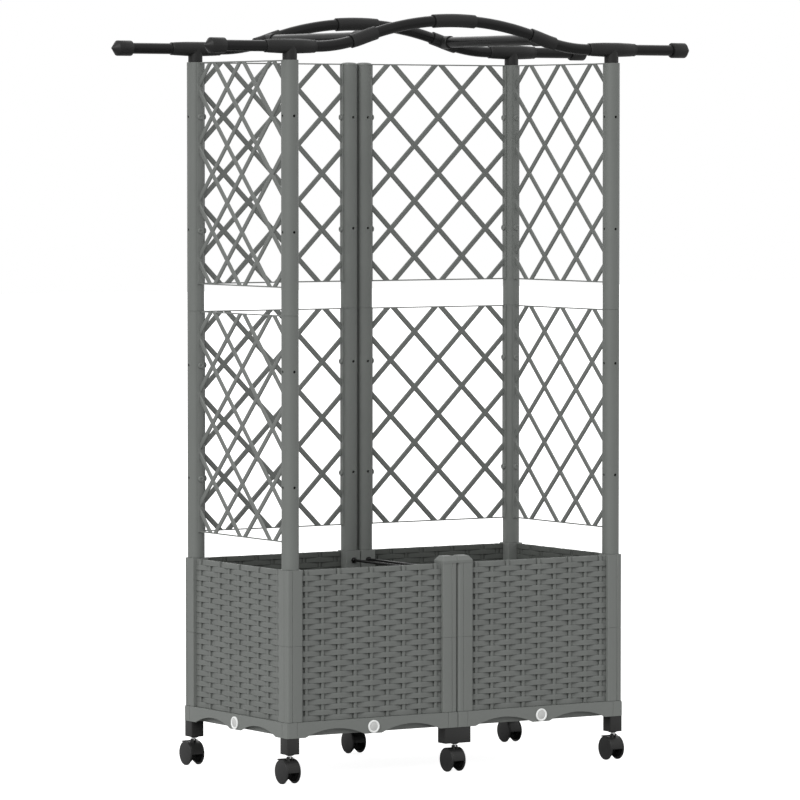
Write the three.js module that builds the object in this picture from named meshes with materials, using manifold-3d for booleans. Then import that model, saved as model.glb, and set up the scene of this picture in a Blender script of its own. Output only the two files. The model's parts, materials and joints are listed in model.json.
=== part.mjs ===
// Planter box on casters, with diamond trellis panels between round posts and an arched top frame.
// Two modules stand side by side along X. Millimetres, +Z up, the front faces -Y. The floor is z = 0.
import * as THREE from 'three';
import { mergeVertices } from 'three/addons/utils/BufferGeometryUtils.js';
import Module from 'manifold-3d';

const wasm = await Module();
wasm.setup();

// ---------------------------------------------------------------- driving dimensions

const fit = 0.3; // gap between pieces that seat on each other

// Modules and columns
const moduleLength = 400;
const moduleJoint = 0.5; // gap between the two modules
const boxDepth = 404.2; // over the columns
const columnSide = 35;
const columnWall = 2.5;
const columnRounding = 3;
const columnSectionHeight = 150.5;
const columnSections = 2;
const seamWidth = 0.8;
const seamDepth = 0.6;
const pairWebInset = 3; // the web that clips a middle pair together, behind the column faces

// Caps of the front middle columns, which carry no post
const capSide = 35.4;
const capSkirt = 6;
const capOverlap = 1.8; // skirt below the column top
const capRise = 8.5;
const capInset = 7;

// Wicker wall panels
const wallThickness = 8;
const wallRecess = 7; // behind the column faces
const courseCount = 28;
const courseHeight = 10.7;
const courseRelief = 1.6;

// Trays
const trayHeight = 31;
const trayProud = 0.5; // apron in front of the column faces
const apronThickness = 3;
const panInset = 12; // pan wall behind the apron face
const panWall = 2.5;
const panLift = 2; // pan underside above the feet
const trayFlange = 2.5;
const footSide = 29;
const archSpan = 138;
const archRise = 15;
const archOffset = 89; // each arch's middle from the middle of its side

// Drain plugs
const plugRadius = 13;
const plugFlange = 2.5;
const plugDish = 1;
const plugRim = 3;
const plugShaftRadius = 8.7;
const plugShaftLength = 14; // ends just inside the pan wall
const plugAboveFoot = 13.5;
const drainWall = 3;

// Tie rods between the middle columns
const tieRodRadius = 2.8;
const tieFlangeRadius = 6;
const tieFlangeThickness = 3;
const tieBelowTop = 20;

// Legs
const legSide = 25.8;
const legMiddleLength = 59;
const legHeight = 29.2;
const legChamfer = 1.5;
const legBossRadius = 9;
const legBossHeight = 3;
const stemBoreDepth = 22;

// Casters
const wheelRadius = 24.4;
const wheelWidth = 8;
const wheelGap = 14; // between the twin wheels
const wheelBevel = 2.6;
const wheelCrown = 1; // the outer disc bulges past its rim
const axleRadius = 3;
const casterTrail = 7;
const casterGround = 61.5; // underside of the leg above the floor
const hoodClearance = 0.8;
const hoodThickness = 1.2;
const webRadius = 19;
const webHubRadius = 8;
const stemRadius = 4;
const collarRadius = 6;
const collarHeight = 4.4;
const collarSink = 6; // collar below the hood's top, into the web
const hoodFrontAngle = 182; // degrees round the axle from +Y
const hoodRearAngle = 55;
const hoodBrakeAngle = 93; // the hood is cut back for the brake lever

// Brake levers of the corner casters
const leverWidth = 24;
const leverReach = 26.5; // from the stem axis
const leverStart = 8;
const leverThickness = 2;
const leverTongue = 5;
const leverTongueReach = 4; // behind the pivot
const leverPinRadius = 1.6;
const leverBarrelRadius = 2.6;
const leverSlotRoom = 1.4; // round the barrel, for the lever's swing
const leverPivotY = 12;
const leverPivotZ = 39;
const leverLift = 0.8; // pad above the wheels

// Posts
const postRadius = 17.25;
const postWall = 2.25;
const postSectionLengths = [500.1, 502.1]; // lower and upper
const spigotLength = 25;
const spigotWall = 2.2;
const spigotClearance = 0.4;
const postCapRise = 3;
const postCapThickness = 3;
const postCapShoulder = 0.7; // share of the radius and the rise where the cap turns over

// Trellis panels
const trellisHeight = 448;
const latticePitchAlong = 58.5; // node to node, half a diamond
const latticePitchUp = 57.7;
const latticeMiddle = 225; // middle node row below the panel top
const stripWidth = 10.5;
const stripThickness = 2.5;
const railHeight = 2;
const channelThickness = 1.5;
const channelWidth = 13;
const pegRadius = 6;
const pegHeight = 3;
const pegDepths = [110, 340]; // below the panel top

// Top frame
const tubeRadius = 11;
const frameRise = 26.8; // straight run's axis above the post tops
const archApexRise = 54.6; // apex above the straight run
const archMiddleRadius = 654;
const kneeSlope = 19; // degrees, where the arch turns from convex to concave
const couplerRadius = 13.5;
const couplerLength = 97;
const teeRadius = 13.8;
const teeLength = 115.5;
const teeStemRadius = 14.5;
const teeStemDepth = 30;
const overhang = 149.2; // stub past the post axis, to the end cap
const endCapRadius = 15.5;
const endCapCylinder = 34;
const endCapCone = 13.5;
const endCapTipRadius = 5;
const kneeLength = 57;
const kneeBranchReach = 28;
const kneeBoreClearance = 0.4;

// Facets
const postSides = 12;
const tubeSides = 12;
const wheelSides = 16;
const smallSides = 8;
const stemSides = 12;
const plugSides = 12;
const pegSides = 6;
const archSteps = 24;

// ---------------------------------------------------------------- worked-out places

const deg = Math.PI / 180;
const moduleHalf = moduleLength;
const halfDepth = boxDepth / 2;
const columnOuterX = moduleHalf - columnSide / 2;
const columnInnerX = moduleJoint / 2 + columnSide / 2;
const columnY = halfDepth - columnSide / 2;

const footZ = casterGround + legHeight + fit;
const trayTop = footZ + trayHeight;
const columnBottom = trayTop + fit;
const columnHeight = columnSections * columnSectionHeight;
const columnTop = columnBottom + columnHeight;
const postBottom = columnTop + fit;
const postLength = postSectionLengths[0] + postSectionLengths[1];
const postTop = postBottom + postLength;

const trayLength = moduleLength - moduleJoint / 2 + trayProud;
const trayDepth = boxDepth + 2 * trayProud;
const trayX = moduleJoint / 2 + trayLength / 2;
const plugZ = footZ + plugAboveFoot;
const legX = moduleHalf - legSide / 2;
const legY = halfDepth - legSide / 2;
const hoodInner = wheelRadius + hoodClearance;
const hoodOuter = hoodInner + hoodThickness;
const casterWidth = 2 * wheelWidth + wheelGap;
const boreRadius = postRadius - postWall;

const kneeAngle = kneeSlope * deg;
const kneeX = archMiddleRadius * Math.sin(kneeAngle);
const kneeRise = archApexRise - archMiddleRadius * (1 - Math.cos(kneeAngle));
const archEndRadius = kneeRise / (1 - Math.cos(kneeAngle));
const archEndX = kneeX + archEndRadius * Math.sin(kneeAngle);
const frameZ = postTop + frameRise;

// ---------------------------------------------------------------- materials

const greyPlastic = new THREE.MeshStandardMaterial({ color: 0x747874, roughness: 0.55, metalness: 0 });
const blackPlastic = new THREE.MeshStandardMaterial({ color: 0x2f3030, roughness: 0.5, metalness: 0 });
const blackTube = new THREE.MeshStandardMaterial({ color: 0x333333, roughness: 0.4, metalness: 0.2 });
const palePlastic = new THREE.MeshStandardMaterial({ color: 0xe6e8e6, roughness: 0.45, metalness: 0 });

// ---------------------------------------------------------------- solids

function toSolid(geometry) {
  const bare = geometry.clone();
  bare.deleteAttribute('normal');
  bare.deleteAttribute('uv');
  const merged = mergeVertices(bare);
  const triVerts = new Uint32Array(merged.index.array);
  const vertProperties = new Float32Array(merged.attributes.position.array);
  return new wasm.Manifold(new wasm.Mesh({ numProp: 3, vertProperties, triVerts }));
}

function toGeometry(solid) {
  const mesh = solid.getMesh();
  const geometry = new THREE.BufferGeometry();
  geometry.setAttribute('position', new THREE.BufferAttribute(mesh.vertProperties, 3));
  geometry.setIndex(new THREE.BufferAttribute(mesh.triVerts, 1));
  geometry.computeVertexNormals();
  return geometry;
}

function join(first, ...others) {
  return others.reduce((whole, piece) => whole.add(piece), first);
}

function block(low, high) {
  const size = new THREE.Vector3().subVectors(high, low);
  const middle = new THREE.Vector3().addVectors(low, high).multiplyScalar(0.5);
  const geometry = new THREE.BoxGeometry(size.x, size.y, size.z);
  return toSolid(geometry.translate(middle.x, middle.y, middle.z));
}

function centredBlock(halfX, halfY, lowZ, highZ) {
  return block(new THREE.Vector3(-halfX, -halfY, lowZ), new THREE.Vector3(halfX, halfY, highZ));
}

// Turns a geometry's Y axis onto X, Y or Z.
function layAlong(geometry, axis) {
  if (axis === 'x') geometry.rotateZ(-Math.PI / 2);
  if (axis === 'z') geometry.rotateX(Math.PI / 2);
  return geometry;
}

// A round piece from [radius, place] pairs. Its facets lie flat against the true round.
function turned(profile, sides, axis) {
  const circumscribe = 1 / Math.cos(Math.PI / sides);
  const points = profile.map(([radius, place]) => new THREE.Vector2(radius * circumscribe, place));
  return toSolid(layAlong(new THREE.LatheGeometry(points, sides, Math.PI / sides), axis));
}

function rod(radius, low, high, sides, axis) {
  return turned([[0, low], [radius, low], [radius, high], [0, high]], sides, axis);
}

// A ring or a hollow turned piece: the profile closes on itself.
function turnedRing(profile, sides, axis) {
  return turned([...profile, profile[0]], sides, axis);
}

function roundedRectangle(width, depth, radius) {
  const x = width / 2;
  const y = depth / 2;
  const shape = new THREE.Shape();
  shape.moveTo(-x + radius, -y);
  shape.absarc(x - radius, -y + radius, radius, -Math.PI / 2, 0);
  shape.absarc(x - radius, y - radius, radius, 0, Math.PI / 2);
  shape.absarc(-x + radius, y - radius, radius, Math.PI / 2, Math.PI);
  shape.absarc(-x + radius, -y + radius, radius, Math.PI, 1.5 * Math.PI);
  return shape;
}

// An arc in the shape gets two facets for each of its divisions.
function extruded(shape, depth, arcDivisions) {
  return new THREE.ExtrudeGeometry(shape, { depth, bevelEnabled: false, curveSegments: arcDivisions });
}

const parts = new THREE.Group();

function addPart(name, solid, material, x = 0, y = 0, z = 0, turn = 0) {
  const mesh = new THREE.Mesh(toGeometry(solid), material);
  mesh.name = name;
  mesh.position.set(x, y, z);
  mesh.rotation.z = turn;
  parts.add(mesh);
}

// ---------------------------------------------------------------- columns

function column() {
  const outline = roundedRectangle(columnSide, columnSide, columnRounding);
  const bore = columnSide - 2 * columnWall;
  let solid = toSolid(extruded(outline, columnHeight, 1));
  const neckSide = columnSide - 2 * seamDepth;
  const neck = toSolid(extruded(roundedRectangle(neckSide, neckSide, columnRounding), columnHeight, 1));
  for (let section = 1; section < columnSections; section += 1) {
    const seam = section * columnSectionHeight;
    const slice = centredBlock(columnSide, columnSide, seam - seamWidth / 2, seam + seamWidth / 2);
    solid = solid.subtract(slice.subtract(neck));
  }
  return solid.subtract(centredBlock(bore / 2, bore / 2, -1, columnHeight + 1));
}

// A square cap with a bevelled crown, its skirt round the column's top.
function columnCap() {
  const half = capSide / 2;
  const crown = capSkirt + capRise;
  const profile = [[0, 0], [half, 0], [half, capSkirt], [half - capInset, crown], [0, crown]];
  return turned(profile, 4, 'z').translate(0, 0, columnHeight - capOverlap);
}

// Two columns, one of each module, clipped to each other.
function columnPair(capped) {
  const one = capped ? column().add(columnCap()) : column();
  const webHalfX = moduleJoint / 2 + columnWall / 2;
  const webHalfY = columnSide / 2 - pairWebInset;
  const web = centredBlock(webHalfX, webHalfY, pairWebInset, columnHeight - pairWebInset);
  return join(one.translate(-columnInnerX, 0, 0), one.translate(columnInnerX, 0, 0), web);
}

function addColumns() {
  for (const [end, y] of [['front', -columnY], ['back', columnY]]) {
    addPart(`column_${end}_left`, column(), greyPlastic, -columnOuterX, y, columnBottom);
    addPart(`column_${end}_right`, column(), greyPlastic, columnOuterX, y, columnBottom);
    addPart(`column_pair_${end}`, columnPair(end === 'front'), greyPlastic, 0, y, columnBottom);
  }
}

// ---------------------------------------------------------------- wicker walls

// A wall panel centred on X with its outer face towards -Y: a slab whose face swells at each course.
function wallPanel(length) {
  const face = -halfDepth + wallRecess;
  const profile = new THREE.Shape();
  profile.moveTo(face + wallThickness, 0);
  for (let course = 0; course < courseCount; course += 1) {
    profile.lineTo(face + courseRelief, course * courseHeight);
    profile.lineTo(face, (course + 0.5) * courseHeight);
  }
  profile.lineTo(face + courseRelief, courseCount * courseHeight);
  profile.lineTo(face + wallThickness, courseCount * courseHeight);
  const geometry = extruded(profile, length, 1);
  const basis = new THREE.Matrix4().makeBasis(
    new THREE.Vector3(0, 1, 0),
    new THREE.Vector3(0, 0, 1),
    new THREE.Vector3(1, 0, 0),
  );
  geometry.applyMatrix4(basis);
  return toSolid(geometry.translate(-length / 2, 0, 0));
}

function addWalls() {
  const halfColumn = columnSide / 2;
  const longLength = columnOuterX - columnInnerX - 2 * halfColumn - 2 * fit;
  const shortLength = 2 * (columnY - halfColumn) - 2 * fit;
  const middleX = (columnOuterX + columnInnerX) / 2;
  const sideShift = moduleHalf - halfDepth;
  for (const [side, x] of [['left', -middleX], ['right', middleX]]) {
    addPart(`wall_front_${side}`, wallPanel(longLength), greyPlastic, x, 0, columnBottom);
    addPart(`wall_back_${side}`, wallPanel(longLength), greyPlastic, x, 0, columnBottom, Math.PI);
  }
  addPart('wall_left', wallPanel(shortLength), greyPlastic, -sideShift, 0, columnBottom, -Math.PI / 2);
  addPart('wall_right', wallPanel(shortLength), greyPlastic, sideShift, 0, columnBottom, Math.PI / 2);
}

// ---------------------------------------------------------------- trays

// The cutter of one arch through an apron that faces -Y.
function archCutter(offset, halfTrayDepth) {
  const radius = (archSpan * archSpan / 4 + archRise * archRise) / (2 * archRise);
  const halfAngle = Math.asin(archSpan / 2 / radius);
  const shape = new THREE.Shape();
  shape.moveTo(-archSpan / 2, -1);
  shape.lineTo(archSpan / 2, -1);
  const centre = archRise - radius;
  shape.absarc(0, centre, radius, Math.PI / 2 - halfAngle, Math.PI / 2 + halfAngle);
  const geometry = extruded(shape, apronThickness + 2, 3);
  geometry.rotateX(Math.PI / 2);
  return toSolid(geometry.translate(offset, -halfTrayDepth + apronThickness + 1, 0));
}

// A boss round the drain hole, from the apron to the pan, on a side that faces -Y.
function drain(radius, halfTrayDepth, inward) {
  const low = -halfTrayDepth - inward;
  const high = -halfTrayDepth + panInset + panWall + inward;
  return rod(radius, low, high, plugSides, 'y').translate(0, 0, plugAboveFoot);
}

function quarterTurned(solid, turns) {
  return solid.rotate(0, 0, 90 * turns);
}

// A tray centred on X and Y, its feet at z = 0. drainTurns says which sides have a drain.
function tray(drainTurns) {
  const halfX = trayLength / 2;
  const halfY = trayDepth / 2;
  const under = trayHeight - trayFlange;
  const apron = centredBlock(halfX, halfY, 0, trayHeight);
  const panHalfX = halfX - panInset;
  const panHalfY = halfY - panInset;
  const hollowUnder = centredBlock(halfX - apronThickness, halfY - apronThickness, -1, under)
    .subtract(centredBlock(panHalfX, panHalfY, panLift, trayHeight));
  const panInside = centredBlock(panHalfX - panWall, panHalfY - panWall, panLift + panWall, trayHeight + 1);
  let solid = apron.subtract(hollowUnder).subtract(panInside);
  const sideHalves = [halfY, halfX, halfY, halfX];
  sideHalves.forEach((half, turns) => {
    for (const offset of [-archOffset, archOffset]) {
      solid = solid.subtract(quarterTurned(archCutter(offset, half), turns));
    }
  });
  for (const turns of drainTurns) {
    const half = sideHalves[turns];
    const bossRadius = plugShaftRadius + fit + drainWall;
    solid = solid.add(quarterTurned(drain(bossRadius, half, -apronThickness / 2), turns));
    solid = solid.subtract(quarterTurned(drain(plugShaftRadius + fit, half, 1), turns));
  }
  for (const [signX, signY] of [[-1, -1], [1, -1], [-1, 1], [1, 1]]) {
    const foot = centredBlock(footSide / 2, footSide / 2, 0, under + trayFlange / 2);
    const footX = signX * (halfX - footSide / 2);
    const footY = signY * (halfY - footSide / 2);
    solid = solid.add(foot.translate(footX, footY, 0));
  }
  return solid;
}

// Sides in quarter turns from the front: 0 front, 1 right, 3 left.
function addTrays() {
  addPart('tray_left', tray([0, 3]), greyPlastic, -trayX, 0, footZ);
  addPart('tray_right', tray([0, 1]), greyPlastic, trayX, 0, footZ);
}

// ---------------------------------------------------------------- drain plugs

// A plug that points along +Y, its flange outside at y < 0.
function drainPlug() {
  const face = -fit - plugFlange;
  return turned([
    [0, face + plugDish],
    [plugRadius - plugRim - 1, face + plugDish],
    [plugRadius - plugRim, face],
    [plugRadius - 0.5, face],
    [plugRadius, face + 0.5],
    [plugRadius, -fit],
    [plugShaftRadius, -fit],
    [plugShaftRadius, plugShaftLength],
    [0, plugShaftLength],
  ], plugSides, 'y');
}

function addDrainPlugs() {
  const front = -trayDepth / 2;
  const side = moduleHalf + trayProud;
  addPart('drain_plug_front_left', drainPlug(), palePlastic, -trayX, front, plugZ);
  addPart('drain_plug_front_right', drainPlug(), palePlastic, trayX, front, plugZ);
  addPart('drain_plug_left', drainPlug(), palePlastic, -side, 0, plugZ, -Math.PI / 2);
  addPart('drain_plug_right', drainPlug(), palePlastic, side, 0, plugZ, Math.PI / 2);
}

// ---------------------------------------------------------------- tie rods

function tieRod() {
  const end = columnY - columnSide / 2 - fit;
  const flange = end - tieFlangeThickness;
  return turned([
    [0, -end],
    [tieFlangeRadius, -end],
    [tieFlangeRadius, -flange],
    [tieRodRadius, -flange],
    [tieRodRadius, flange],
    [tieFlangeRadius, flange],
    [tieFlangeRadius, end],
    [0, end],
  ], smallSides, 'y');
}

function addTieRods() {
  const z = columnTop - tieBelowTop;
  addPart('tie_rod_left', tieRod(), blackTube, -columnInnerX, 0, z);
  addPart('tie_rod_right', tieRod(), blackTube, columnInnerX, 0, z);
}

// ---------------------------------------------------------------- legs

function legBlock(length) {
  const chamferedOutline = new THREE.Shape();
  const x = length / 2;
  const y = legSide / 2;
  const outline = [
    [-x + legChamfer, -y], [x - legChamfer, -y], [x, -y + legChamfer], [x, y - legChamfer],
    [x - legChamfer, y], [-x + legChamfer, y], [-x, y - legChamfer], [-x, -y + legChamfer],
  ];
  chamferedOutline.setFromPoints(outline.map(([px, py]) => new THREE.Vector2(px, py)));
  const body = toSolid(extruded(chamferedOutline, legHeight, 1));
  const boss = rod(legBossRadius, -legBossHeight, 1, smallSides, 'z');
  const bore = rod(stemRadius + fit, -legBossHeight - 1, stemBoreDepth, stemSides, 'z');
  return body.add(boss).subtract(bore);
}

// ---------------------------------------------------------------- casters

// A sector round the axle, wide along X, between two radii.
function axleSector(inner, outer, fromAngle, toAngle, width) {
  const divisions = 4;
  const circumscribe = 1 / Math.cos((toAngle - fromAngle) * deg / divisions / 4);
  const shape = new THREE.Shape();
  shape.absarc(0, 0, outer * circumscribe, fromAngle * deg, toAngle * deg, false);
  if (inner > 0) shape.absarc(0, 0, inner * circumscribe, toAngle * deg, fromAngle * deg, true);
  else shape.lineTo(0, 0);
  const geometry = extruded(shape, width, divisions);
  const basis = new THREE.Matrix4().makeBasis(
    new THREE.Vector3(0, 1, 0),
    new THREE.Vector3(0, 0, 1),
    new THREE.Vector3(1, 0, 0),
  );
  geometry.applyMatrix4(basis);
  return toSolid(geometry.translate(-width / 2, casterTrail, wheelRadius));
}

// The swivelling housing, its stem on the Z axis and the floor at z = 0.
function casterHousing(braked) {
  const rear = braked ? hoodBrakeAngle : hoodRearAngle;
  const hood = axleSector(hoodInner, hoodOuter, rear, hoodFrontAngle, casterWidth);
  const webWidth = wheelGap - 2 * fit;
  const webFill = axleSector(0, hoodInner + hoodThickness / 2, rear, hoodFrontAngle, webWidth);
  const webRear = axleSector(0, webRadius, 0, 180, webWidth);
  const hub = rod(webHubRadius, -webWidth / 2, webWidth / 2, smallSides, 'x')
    .translate(0, casterTrail, wheelRadius);
  const hoodTop = wheelRadius + Math.sqrt(hoodOuter * hoodOuter - casterTrail * casterTrail);
  const collar = rod(collarRadius, hoodTop - collarSink, hoodTop + collarHeight, smallSides, 'z');
  const stem = rod(stemRadius, hoodTop, casterGround + stemBoreDepth - fit, stemSides, 'z');
  let solid = join(webFill, webRear, hub, hood, collar, stem);
  const axleBore = rod(axleRadius + fit, -casterWidth, casterWidth, smallSides, 'x')
    .translate(0, casterTrail, wheelRadius);
  solid = solid.subtract(axleBore);
  if (!braked) return solid;
  const slotHalf = leverTongue / 2 + fit;
  const slotReach = leverBarrelRadius + leverSlotRoom;
  const slot = block(
    new THREE.Vector3(-slotHalf, leverPivotY - slotReach, leverPivotZ - slotReach),
    new THREE.Vector3(slotHalf, leverPivotY + webRadius, casterGround),
  );
  const pinBore = rod(leverPinRadius + fit, -webWidth, webWidth, smallSides, 'x')
    .translate(0, leverPivotY, leverPivotZ);
  return solid.subtract(slot).subtract(pinBore);
}

// Twin wheels and their axle, on the X axis.
function wheelPair() {
  const gap = wheelGap / 2;
  const rim = gap + wheelWidth - wheelCrown;
  const disc = wheelRadius - wheelBevel;
  const half = [
    [axleRadius, gap],
    [wheelRadius, gap],
    [wheelRadius, rim - wheelBevel],
    [disc, rim],
    [0, gap + wheelWidth],
  ];
  const mirrored = half.map(([radius, place]) => [radius, -place]).reverse();
  return turned([...mirrored, ...half], wheelSides, 'x');
}

// A pedal on a tongue that is pinned in the housing's slot.
function brakeLever() {
  const padZ = 2 * wheelRadius + leverLift;
  const pad = block(
    new THREE.Vector3(-leverWidth / 2, leverStart, padZ),
    new THREE.Vector3(leverWidth / 2, leverReach, padZ + leverThickness),
  );
  const tongue = block(
    new THREE.Vector3(-leverTongue / 2, leverPivotY - leverTongueReach / 2, leverPivotZ),
    new THREE.Vector3(leverTongue / 2, leverPivotY + leverTongueReach, padZ + leverThickness / 2),
  );
  const barrel = rod(leverBarrelRadius, -leverTongue / 2, leverTongue / 2, smallSides, 'x');
  const pinHalf = wheelGap / 2 - fit;
  const pin = rod(leverPinRadius, -pinHalf, pinHalf, smallSides, 'x');
  return join(pad, tongue, barrel.add(pin).translate(0, leverPivotY, leverPivotZ));
}

function addLegsAndCasters() {
  for (const [end, y] of [['front', -legY], ['back', legY]]) {
    for (const [side, x] of [['left', -legX], ['middle', 0], ['right', legX]]) {
      const place = `${end}_${side}`;
      const middle = side === 'middle';
      const length = middle ? legMiddleLength : legSide;
      addPart(`leg_block_${place}`, legBlock(length), blackPlastic, x, y, casterGround);
      addPart(`caster_housing_${place}`, casterHousing(!middle), blackPlastic, x, y, 0);
      addPart(`caster_wheels_${place}`, wheelPair(), blackPlastic, x, y + casterTrail, wheelRadius);
      if (!middle) addPart(`brake_lever_${place}`, brakeLever(), blackPlastic, x, y, 0);
    }
  }
}

// ---------------------------------------------------------------- posts

// A post stands in the column below it. Its sections meet at shallow seams.
function post(capped) {
  const spigotRadius = columnSide / 2 - columnWall - spigotClearance;
  const seam = postSectionLengths[0];
  const outside = [
    [spigotRadius, -spigotLength],
    [spigotRadius, 0],
    [postRadius, 0],
    [postRadius, seam - seamWidth / 2],
    [postRadius - seamDepth, seam],
    [postRadius, seam + seamWidth / 2],
  ];
  const inside = [
    [boreRadius, spigotWall],
    [spigotRadius - spigotWall, 0],
    [spigotRadius - spigotWall, -spigotLength],
  ];
  if (!capped) {
    const mouth = [[postRadius, postLength], [boreRadius, postLength]];
    return turnedRing([...outside, ...mouth, ...inside], postSides, 'z');
  }
  const crown = [
    [postRadius, postLength - 1],
    [postRadius * postCapShoulder, postLength + postCapRise * postCapShoulder],
    [0, postLength + postCapRise],
    [0, postLength - postCapThickness],
    [boreRadius, postLength - postCapThickness],
  ];
  return turned([...outside, ...crown, ...inside, outside[0]], postSides, 'z');
}

function addPosts() {
  for (const [side, sign] of [['left', -1], ['right', 1]]) {
    addPart(`post_front_${side}`, post(false), greyPlastic, sign * columnOuterX, -columnY, postBottom);
    addPart(`post_back_${side}`, post(false), greyPlastic, sign * columnOuterX, columnY, postBottom);
    addPart(`post_middle_${side}`, post(true), greyPlastic, sign * columnInnerX, columnY, postBottom);
  }
}

// ---------------------------------------------------------------- trellis

// The channel at a panel's right end: it hugs the post whose axis is at postX.
function postChannel(postX) {
  const inner = postRadius + fit;
  const outer = inner + channelThickness;
  const ring = turnedRing([
    [inner, -trellisHeight],
    [outer, -trellisHeight],
    [outer, 0],
    [inner, 0],
  ], postSides, 'z');
  const reach = block(
    new THREE.Vector3(-2 * outer, -channelWidth / 2, -trellisHeight),
    new THREE.Vector3(0, channelWidth / 2, 0),
  );
  const channel = ring.intersect(reach).translate(postX, 0, 0);
  const face = postX - inner - channelThickness / 2;
  const pegs = pegDepths.map((depth) => {
    const peg = rod(pegRadius, face - channelThickness / 2 - pegHeight, face, pegSides, 'x');
    return peg.translate(0, 0, -depth);
  });
  return join(channel, ...pegs);
}

// A panel between two posts, along X and centred, its top at z = 0.
function trellisPanel(postSpacing) {
  const postX = postSpacing / 2;
  const halfLength = postX - postRadius - fit - channelThickness / 2;
  const tilt = Math.atan2(latticePitchUp, latticePitchAlong);
  const length = 2 * trellisHeight;
  const reach = Math.ceil((halfLength + trellisHeight) / (2 * latticePitchAlong));
  const strips = [];
  for (let index = -reach; index <= reach; index += 1) {
    for (const sign of [-1, 1]) {
      const geometry = new THREE.BoxGeometry(length, stripThickness, stripWidth);
      geometry.rotateY(sign * tilt);
      geometry.translate(2 * index * latticePitchAlong, 0, -latticeMiddle);
      strips.push(toSolid(geometry));
    }
  }
  const halfThickness = stripThickness / 2;
  const slab = block(
    new THREE.Vector3(-halfLength, -halfThickness, -trellisHeight),
    new THREE.Vector3(halfLength, halfThickness, 0),
  );
  const topRail = block(
    new THREE.Vector3(-halfLength, -halfThickness, -railHeight),
    new THREE.Vector3(halfLength, halfThickness, 0),
  );
  const bottomRail = topRail.translate(0, 0, railHeight - trellisHeight);
  const lattice = join(...strips).intersect(slab);
  const channel = postChannel(postX);
  return join(lattice, topRail, bottomRail, channel, channel.rotate(0, 0, 180));
}

function addTrellis() {
  const backX = (columnOuterX + columnInnerX) / 2;
  const backSpacing = columnOuterX - columnInnerX;
  for (const [level, z] of [['lower', postBottom + postSectionLengths[0]], ['upper', postTop]]) {
    const backPanel = trellisPanel(backSpacing);
    const sidePanel = trellisPanel(2 * columnY);
    addPart(`trellis_back_left_${level}`, backPanel, greyPlastic, -backX, columnY, z);
    addPart(`trellis_back_right_${level}`, backPanel, greyPlastic, backX, columnY, z);
    addPart(`trellis_left_${level}`, sidePanel, greyPlastic, -columnOuterX, 0, z, Math.PI / 2);
    addPart(`trellis_right_${level}`, sidePanel, greyPlastic, columnOuterX, 0, z, Math.PI / 2);
  }
}

// ---------------------------------------------------------------- top frame

// Height of the arch's axis over its straight run, at a distance along X from the middle.
function archRiseAt(x) {
  const along = Math.abs(x);
  if (along < kneeX) {
    const drop = archMiddleRadius - Math.sqrt(archMiddleRadius ** 2 - along ** 2);
    return archApexRise - drop;
  }
  if (along > archEndX) return 0;
  const back = archEndX - along;
  return archEndRadius - Math.sqrt(archEndRadius ** 2 - back ** 2);
}

class ArchAxis extends THREE.Curve {
  constructor(fromX, toX) {
    super();
    this.fromX = fromX;
    this.toX = toX;
  }

  getPoint(t) {
    const x = this.fromX + (this.toX - this.fromX) * t;
    return new THREE.Vector3(x, 0, archRiseAt(x));
  }
}

function archTube(radius, fromX, toX, steps) {
  const section = new THREE.Shape();
  const halfFacet = Math.PI / tubeSides;
  section.absarc(0, 0, radius / Math.cos(halfFacet), halfFacet, 2 * Math.PI + halfFacet);
  const extrudePath = new ArchAxis(fromX, toX);
  const options = { steps, extrudePath, bevelEnabled: false, curveSegments: tubeSides / 2 };
  return toSolid(new THREE.ExtrudeGeometry(section, options));
}

function endCap() {
  const capStart = columnOuterX + overhang;
  const capShoulder = capStart + endCapCylinder;
  return turned([
    [0, capStart],
    [endCapRadius - 1, capStart],
    [endCapRadius, capStart + 1],
    [endCapRadius, capShoulder],
    [endCapTipRadius, capShoulder + endCapCone],
    [0, capShoulder + endCapCone],
  ], tubeSides, 'x');
}

// The whole arch from tee to tee, so that a bore cut with it follows the tube's own facets.
function wholeArchTube(radius) {
  return archTube(radius, -archEndX - 1, archEndX + 1, archSteps);
}

// One arch with its coupler, and at each end a tee on the post, a stub and an end cap.
function arch() {
  const coupler = archTube(couplerRadius, -couplerLength / 2, couplerLength / 2, 4);
  const teeHalf = teeLength / 2;
  const tee = rod(teeRadius, columnOuterX - teeHalf, columnOuterX + teeHalf, tubeSides, 'x');
  const stem = rod(teeStemRadius, -frameRise - teeStemDepth, 0, postSides, 'z')
    .translate(columnOuterX, 0, 0);
  const stub = rod(tubeRadius, archEndX, columnOuterX + overhang + 2, tubeSides, 'x');
  const end = join(tee, stem, stub, endCap());
  return join(wholeArchTube(tubeRadius), coupler, end, end.rotate(0, 0, 180));
}

// A crossbar with the sleeve at each end that grips an arch at its knee.
function crossbar() {
  const z = archRiseAt(kneeX);
  const reach = columnY;
  const bar = rod(tubeRadius, -reach, reach, tubeSides, 'y').translate(kneeX, 0, z);
  const sleeve = archTube(couplerRadius, kneeX - kneeLength / 2, kneeX + kneeLength / 2, 2);
  const branch = rod(couplerRadius, 0, kneeBranchReach, tubeSides, 'y').translate(kneeX, 0, z);
  const bore = wholeArchTube(tubeRadius + kneeBoreClearance);
  const end = sleeve.add(branch).translate(0, -columnY, 0);
  const farEnd = sleeve.add(branch.rotate(0, 0, 180).translate(2 * kneeX, 0, 0)).translate(0, columnY, 0);
  const whole = join(bar, end, farEnd);
  return whole.subtract(bore.translate(0, -columnY, 0)).subtract(bore.translate(0, columnY, 0));
}

function addTopFrame() {
  addPart('arch_front', arch(), blackTube, 0, -columnY, frameZ);
  addPart('arch_back', arch(), blackTube, 0, columnY, frameZ);
  addPart('crossbar_right', crossbar(), blackTube, 0, 0, frameZ);
  addPart('crossbar_left', crossbar(), blackTube, 0, 0, frameZ, Math.PI);
}

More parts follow.
